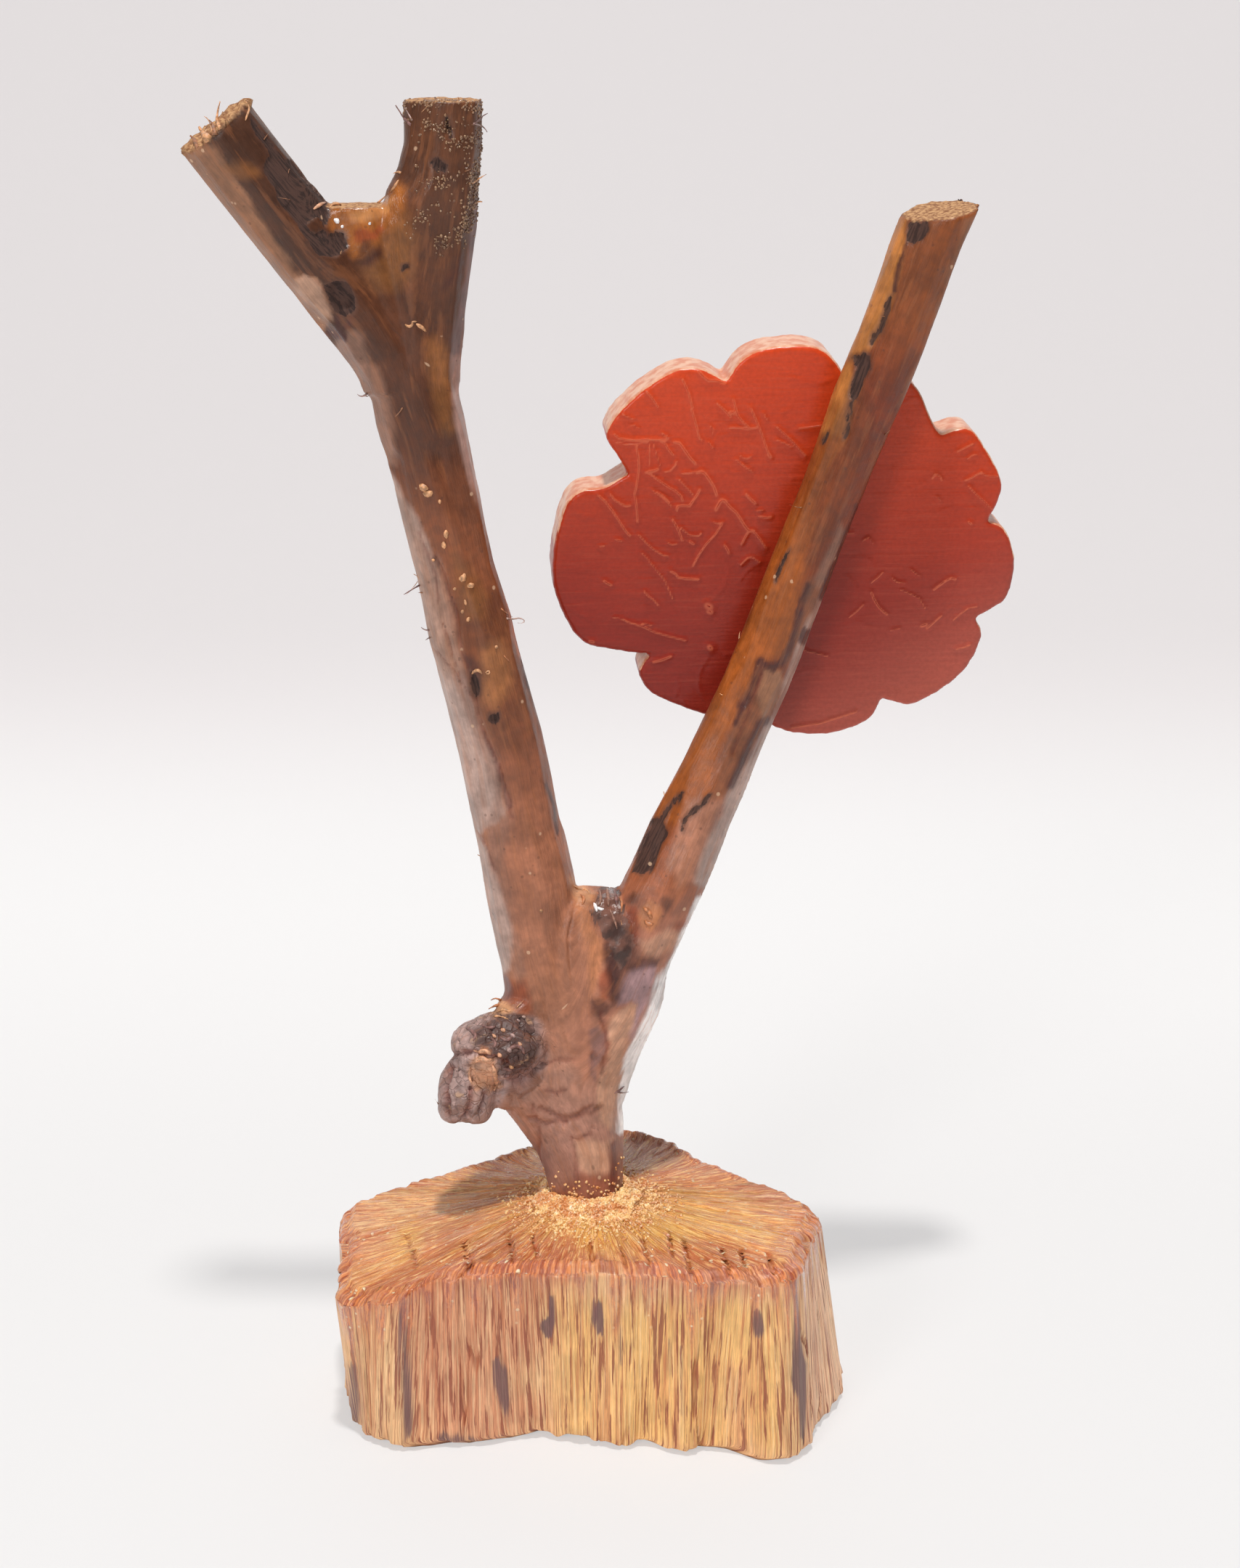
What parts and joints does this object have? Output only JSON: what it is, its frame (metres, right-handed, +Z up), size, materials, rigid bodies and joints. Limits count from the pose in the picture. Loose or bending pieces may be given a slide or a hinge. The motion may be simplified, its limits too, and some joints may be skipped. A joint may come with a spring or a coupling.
{
  "type": "wooden flower ornament",
  "caption": "Tabletop ornament: a whittled forked branch stands in a fibrous wood block and carries a painted scalloped wooden flower.",
  "frame": {"origin": "on the table, straight under the foot of the branch", "axes": "+Z up the ornament, +X to its right as seen from the front, +Y away from the viewer"},
  "size_m": [0.1607, 0.0749, 0.263],
  "materials": {
    "split_wood": "fibrous split wood, varnished glossy on the gouged top, satin on the sides",
    "branch_wood": "whittled branch under satin-gloss varnish, dark bark remnants",
    "sawdust_glue": "golden sawdust set in glue, rough granules",
    "red_enamel": "wooden board under thick brushed red-orange enamel, semi-gloss",
    "clear_glue": "dried yellowish glue"
  },
  "bodies": {
    "root": {"base_block": "split_wood", "forked_branch": "branch_wood", "foot_glue_collar": "sawdust_glue", "flower_disc": "red_enamel", "flower_glue_pad": "clear_glue"}
  },
  "joints": []
}
